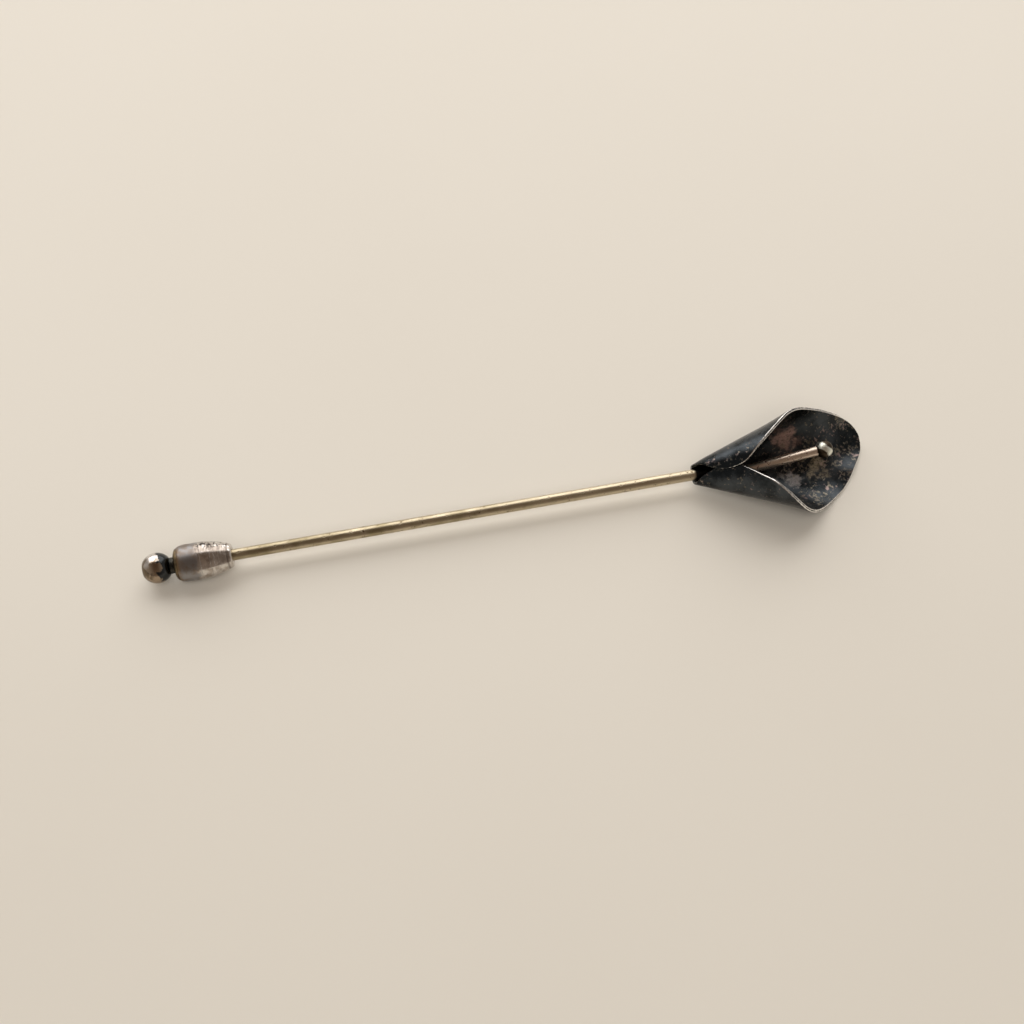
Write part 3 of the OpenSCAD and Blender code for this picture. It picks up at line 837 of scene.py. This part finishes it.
def tarnished_silver():
    """The bead: black, with a painted highlight as a bright stroke across it."""
    m = Metal("tarnished_silver")
    rubbed_and_painted_highlight, black = (0.88, 0.90, 0.80), (0.06, 0.045, 0.03)
    smear = m.noise(0.5, detail=3, shift=4.9)
    fine = m.noise(0.14, detail=4, rough=0.7, shift=5.1)
    place = m.nodes.new("ShaderNodeVectorMath")
    place.operation = "DOT_PRODUCT"
    m.feed(place.inputs[0], m.place)
    across = Vector(STROKE_ACROSS)
    place.inputs[1].default_value = across
    offset = m.math("SUBTRACT", place.outputs["Value"], across.dot(flower_point(SPADIX_HEAD)))
    offset = m.math("DIVIDE", offset, MM)
    offset = m.math("ABSOLUTE", m.math("ADD", offset, m.band(smear, 0.3, 0.7, -0.12, 0.12)))
    # painted highlight: the bright stroke across the black bead
    colour = m.mix(m.band(offset, 0.18, 0.38), rubbed_and_painted_highlight, black)
    return m.finish(colour, m.band(smear, 0.3, 0.7, 0.30, 0.42), fine, 0.01)


def aged_brass():
    """The rear bush, the thrust washer and the ball cage."""
    m = Metal("aged_brass")
    brown, dark = (0.24, 0.18, 0.10), (0.10, 0.075, 0.05)
    patch = m.noise(0.7, detail=5, shift=2.8)
    fine = m.noise(0.07, detail=3, stretch=(1, 40, 40), shift=7.4)
    colour = m.mix(m.band(patch, 0.35, 0.65), brown, dark)
    return m.finish(colour, m.band(patch, 0.3, 0.7, 0.30, 0.45), fine, 0.006)


def dark_steel():
    """The plunger and the hardened sleeve."""
    m = Metal("dark_steel")
    black, wear_and_painted_highlight = (0.030, 0.032, 0.030), (0.085, 0.078, 0.065)
    patch = m.noise(0.5, detail=4, shift=6.6)
    fine = m.noise(0.06, detail=3, stretch=(1, 30, 30), shift=1.1)
    colour = m.mix(m.band(patch, 0.4, 0.7), black, wear_and_painted_highlight)
    return m.finish(colour, m.band(patch, 0.3, 0.7, 0.30, 0.48), fine, 0.006)


# ---- the object ----

oxidised = oxidised_silver()
nickel = wire_metal(
    "nickel_silver",
    light=(0.62, 0.54, 0.39), dark=(0.38, 0.32, 0.20), stain=(0.18, 0.12, 0.07),
    painted_shade_from=FLOWER,
)
rosy = wire_metal(
    "rose_wire",
    light=(0.78, 0.66, 0.55), dark=(0.50, 0.40, 0.31), stain=(0.20, 0.08, 0.055),
    pitted=0.55,
)
steel = turned_steel()
silver = bright_silver()
brass = aged_brass()
blackened = dark_steel()
beaded = tarnished_silver()
knobbed = knob_silver()
polished = polished_steel()

PIECES = [
    # piece, its body, the CAD node it stands for, the record's slot, material
    (build_petal(), "pin", "petal", "oxidised_silver", oxidised),
    (build_stem(), "pin", "stem", "nickel_silver", nickel),
    (build_spadix_wire(), "pin", "spadix_wire", "rose_wire", rosy),
    (build_bead(), "pin", "spadix_bead", "bright_silver", beaded),
    (build_shell(), "barrel", "clutch_shell", "turned_steel", steel),
    (build_nose_ring(), "barrel", "nose_ring", "turned_steel", polished),
    (build_rear_bush(), "barrel", "rear_bush", "aged_brass", brass),
    (build_spring(), "clutch_spring", "spring", "turned_steel", steel),
    (build_plunger(), "plunger", "plunger", "dark_steel", blackened),
    (build_knob(), "plunger", "knob", "bright_silver", knobbed),
]
for piece, body, node, slot, material in PIECES:
    piece.data.materials.append(material)
    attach(piece, body)
    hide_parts(node)


def press_spring(coil):
    """Gives the spring's coil a mesh of its own."""
    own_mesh(coil)


press_spring(bpy.data.objects["clutch_spring_coil"])

# the pieces that are shown as the CAD model has them
KEPT_NODES = {
    "petal_solder": silver, "spadix_solder": silver, "taper_sleeve": blackened,
    "thrust_washer": brass, "ball_cage": brass,
    "grip_ball_1": steel, "grip_ball_2": steel, "grip_ball_3": steel,
}
for node, material in KEPT_NODES.items():
    data = frame["nodes"][node].data
    data.materials.clear()
    data.materials.append(material)

# ---- table, camera and light ----

# half the table's side, in metres
TABLE_REACH = 1.6
TABLE_ROUGHNESS = 0.42
# the camera's target along and across the shank, and its place from there
TARGET = (BARREL_L + 26.34, 0.39)
TO_CAMERA = (-12.25, -60.87, 107.54)
LENS = 45.7
SENSOR = 36
DAYLIGHT = (1.0, 0.985, 0.965)
# the room as the metal mirrors it
OVERHEAD, HORIZON = (0.13, 0.09, 0.065), (0.24, 0.19, 0.15)
BOTH_SIDES = (0.42, 0.39, 0.36)


def build_table():
    size = TABLE_REACH
    data = bpy.data.meshes.new("table_top")
    corners = [(-size, -size, 0), (size, -size, 0), (size, size, 0), (-size, size, 0)]
    data.from_pydata(corners, [], [(0, 1, 2, 3)])
    table = bpy.data.objects.new("table_top", data)
    bpy.context.scene.collection.objects.link(table)
    m = Metal("table_laminate", metallic=0.0)
    darker, lighter = (0.758, 0.713, 0.626), (0.793, 0.751, 0.667)
    colour = m.mix(m.noise(60, detail=2), darker, lighter)
    table.data.materials.append(m.finish(colour, TABLE_ROUGHNESS))


def build_camera():
    """Looks down at 60 degrees on a point of the table below the shank, and returns the point."""
    target = pin_point(*TARGET, 0)
    target.z = 0
    place = target + Vector(TO_CAMERA) * MM
    data = bpy.data.cameras.new("camera")
    data.lens = LENS
    data.sensor_width = SENSOR
    data.clip_start = 0.001
    camera = bpy.data.objects.new("camera", data)
    camera.location = place
    camera.rotation_euler = (target - place).to_track_quat("-Z", "Y").to_euler()
    bpy.context.scene.collection.objects.link(camera)
    bpy.context.scene.camera = camera
    return target


def area_light(name, target, azimuth, elevation, distance, size, power, mirrored=True):
    """A soft box that faces the target, sized in metres. Azimuth runs from +Y towards +X."""
    a, e = math.radians(azimuth), math.radians(elevation)
    away = Vector((math.sin(a) * math.cos(e), math.cos(a) * math.cos(e), math.sin(e)))
    data = bpy.data.lights.new(name, "AREA")
    data.shape = "RECTANGLE"
    data.size, data.size_y = size
    data.energy = power
    data.color = DAYLIGHT
    light = bpy.data.objects.new(name, data)
    light.location = target + away * distance
    light.rotation_euler = (-away).to_track_quat("-Z", "Y").to_euler()
    light.visible_glossy = mirrored
    bpy.context.scene.collection.objects.link(light)


def build_room():
    """A dim warm room: brown overhead and behind the camera, lighter to both sides."""
    world = bpy.data.worlds.new("room")
    world.use_nodes = True
    tree = world.node_tree

    def node(kind, inputs):
        made = tree.nodes.new(kind)
        for index, value in inputs.items():
            socket = made.inputs[index]
            if isinstance(value, bpy.types.NodeSocket):
                tree.links.new(value, socket)
            else:
                socket.default_value = value
        return made

    coords = node("ShaderNodeTexCoord", {})
    split = node("ShaderNodeSeparateXYZ", {0: coords.outputs["Generated"]})
    side = node("ShaderNodeMath", {0: split.outputs["X"]})
    side.operation = "ABSOLUTE"
    sideways = node("ShaderNodeMapRange", {0: side.outputs[0], 1: 0.25, 2: 0.95})
    ramp = node("ShaderNodeValToRGB", {0: split.outputs["Z"]})
    ramp.color_ramp.elements[0].color = (*HORIZON, 1)
    ramp.color_ramp.elements[1].color = (*OVERHEAD, 1)
    mix = node("ShaderNodeMix", {})
    mix.data_type = "RGBA"
    tree.links.new(sideways.outputs[0], mix.inputs[0])
    tree.links.new(ramp.outputs["Color"], mix.inputs[6])
    mix.inputs[7].default_value = (*BOTH_SIDES, 1)
    tree.links.new(mix.outputs[2], tree.nodes["Background"].inputs["Color"])
    bpy.context.scene.world = world


middle = build_camera()
build_table()
build_room()
area_light(
    "window", middle, azimuth=3, elevation=39, distance=0.60, size=(1.05, 0.68), power=4.2
)
area_light(
    "fill", middle, azimuth=191, elevation=60, distance=0.80, size=(0.5, 0.5), power=2.0,
    mirrored=False,
)
bpy.context.scene.view_settings.view_transform = "Standard"
